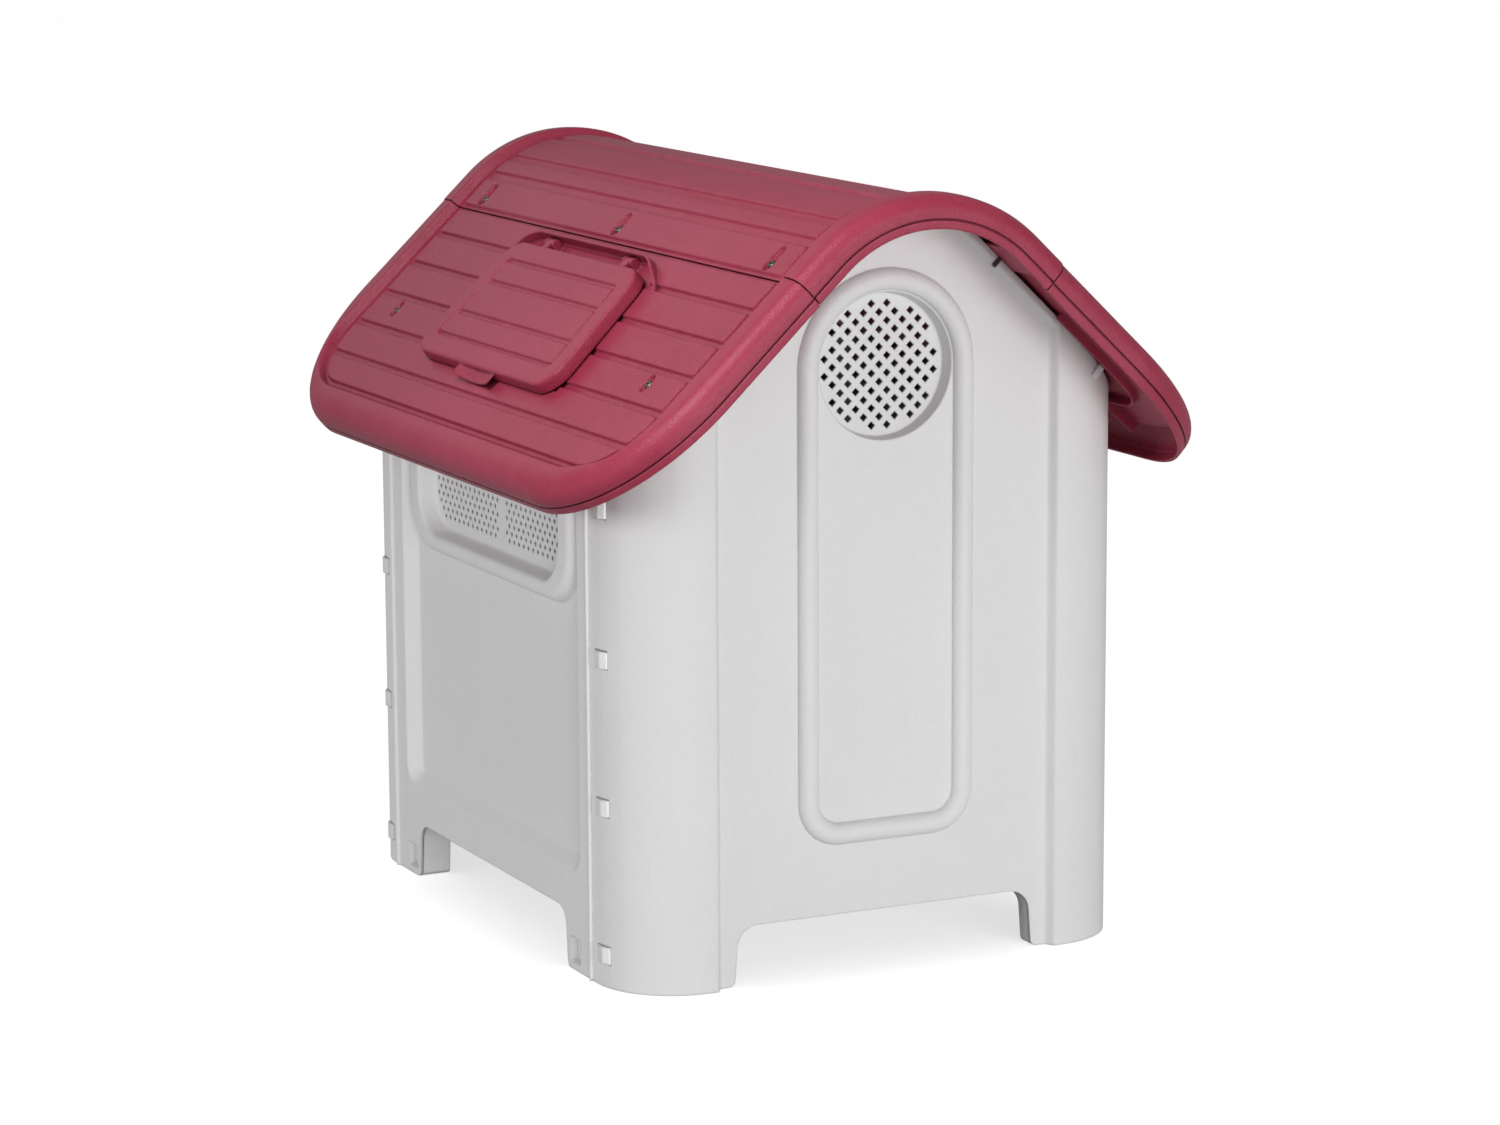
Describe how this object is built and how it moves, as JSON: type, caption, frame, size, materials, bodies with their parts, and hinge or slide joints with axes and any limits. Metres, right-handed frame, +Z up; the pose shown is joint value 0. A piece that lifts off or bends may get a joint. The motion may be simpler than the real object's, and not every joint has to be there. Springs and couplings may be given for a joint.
{
  "type": "plastic dog kennel",
  "caption": "Small gabled plastic dog kennel with clip-together walls, round-ridged plank-pattern roof, ventilation grilles and a hinged roof hatch.",
  "frame": {"origin": "on the ground, at the centre of the kennel's footprint", "axes": "+Z up, +Y along the ridge towards the back gable (the doorway faces -Y), +X across the gables towards the roof slope with the hatch"},
  "size_m": [0.5904, 0.75, 0.656],
  "materials": {
    "roof_plastic": "wine red moulded polypropylene, fine brushed grain",
    "wall_plastic": "light grey moulded polypropylene, fine grain",
    "floor_plastic": "dark grey moulded polypropylene",
    "screw_steel": "zinc plated steel"
  },
  "bodies": {
    "house": {"ridge_cap": "roof_plastic", "roof_panel_hatch_side": "roof_plastic", "roof_panel_plain_side": "roof_plastic", "back_wall": "wall_plastic", "front_wall": "wall_plastic", "side_wall_hatch_side": "wall_plastic", "side_wall_plain_side": "wall_plastic", "floor_panel": "floor_plastic", "ridge_cap_screws": "screw_steel", "roof_panel_screws": "screw_steel"},
    "hatch": {"hatch_lid": "roof_plastic"}
  },
  "joints": [
    {"name": "hatch_hinge", "type": "hinge", "parent": "house", "child": "hatch", "pos_m": [0.13413, 0, 0.57958], "axis": [0, -1, 0], "range_deg": [0, 75]}
  ]
}
